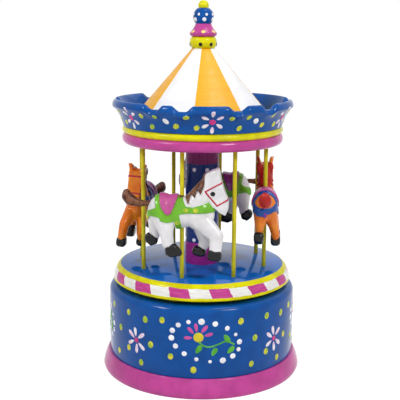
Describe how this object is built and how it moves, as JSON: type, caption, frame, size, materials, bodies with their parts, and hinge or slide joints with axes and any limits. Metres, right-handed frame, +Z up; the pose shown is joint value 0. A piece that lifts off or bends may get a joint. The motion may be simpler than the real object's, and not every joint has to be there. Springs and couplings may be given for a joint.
{
  "type": "carousel music box",
  "caption": "Wind-up carousel music box: painted wooden horses on poles under a scalloped canopy turn on a drum that hides a clockwork musical movement.",
  "frame": {"origin": "centre of the plinth's foot, on the surface that the box stands on", "axes": "+Z up along the axis that the carousel turns on, -Y towards the viewer of the picture, +X to the viewer's right"},
  "size_m": [0.1, 0.1, 0.1824],
  "materials": {
    "painted_pink": "glossy pink paint on turned wood",
    "painted_blue": "glossy blue paint on turned wood",
    "painted_post": "glossy blue and magenta paint on turned wood",
    "painted_yellow": "glossy yellow paint on turned wood",
    "painted_roof": "glossy white and orange-yellow panels on turned wood",
    "painted_white": "glossy white paint on carved wood",
    "painted_orange": "glossy orange paint on carved wood",
    "bare_wood": "plain sanded wood",
    "nylon": "plain moulded nylon",
    "brass": "machined brass",
    "steel": "ground or drawn steel",
    "spring_steel": "blued spring steel",
    "cast_bed": "die-cast light alloy"
  },
  "bodies": {
    "base": {"plinth": "painted_pink", "drum": "painted_blue", "bottom_cover": "bare_wood", "cover_screws": "steel", "glide_washer": "nylon", "movement_bedplate": "cast_bed", "movement_screws": "steel", "spring_barrel": "steel", "barrel_cover": "steel", "mainspring": "spring_steel", "comb": "steel", "comb_screws": "steel", "governor_bracket": "steel"},
    "carousel": {"turntable": "painted_blue", "hub_flange": "steel", "hub_screws": "steel", "centre_post": "painted_post", "pole_1": "painted_yellow", "pole_2": "painted_yellow", "pole_3": "painted_yellow", "pole_4": "painted_yellow", "pole_5": "painted_yellow", "pole_6": "painted_yellow", "pole_7": "painted_yellow", "pole_8": "painted_yellow", "horse_1": "painted_white", "horse_2": "painted_orange", "horse_3": "painted_white", "horse_4": "painted_orange", "canopy_disc": "painted_pink", "canopy_bead": "painted_yellow", "crown": "painted_blue", "roof_cone": "painted_roof", "finial_bead": "painted_yellow", "finial_skirt": "painted_pink", "finial_ball": "painted_blue", "finial_tip": "painted_yellow", "finial_dowel": "bare_wood", "winding_arbor": "steel", "drive_wheel": "brass", "ratchet_wheel": "brass", "ratchet_click": "steel", "arbor_clip": "steel"},
    "cylinder": {"cylinder_arbor": "steel", "cylinder_pinion": "brass", "cylinder_gear": "brass", "cylinder_sleeve": "brass"},
    "governor_wheel": {"governor_arbor": "steel", "governor_pinion": "brass", "worm_wheel": "brass"},
    "fly": {"worm_shaft": "steel", "fan": "steel"}
  },
  "joints": [
    {"name": "turntable_spin", "type": "hinge", "parent": "base", "child": "carousel", "pos_m": [0, 0, 0], "axis": [0, 0, 1], "continuous": true},
    {"name": "cylinder_spin", "type": "hinge", "parent": "base", "child": "cylinder", "pos_m": [0.0265, 0, 0.02222], "axis": [1, 0, 0], "continuous": true},
    {"name": "governor_spin", "type": "hinge", "parent": "base", "child": "governor_wheel", "pos_m": [0.0239, -0.01105, 0.02222], "axis": [1, 0, 0], "continuous": true},
    {"name": "fly_spin", "type": "hinge", "parent": "base", "child": "fly", "pos_m": [0.0239, -0.0161, 0.02222], "axis": [0, 0, 1], "continuous": true}
  ],
  "couplings": [
    {"joint": "cylinder_spin", "follows": "turntable_spin", "ratio": 5},
    {"joint": "governor_spin", "follows": "turntable_spin", "ratio": -22.5},
    {"joint": "fly_spin", "follows": "turntable_spin", "ratio": -315}
  ]
}
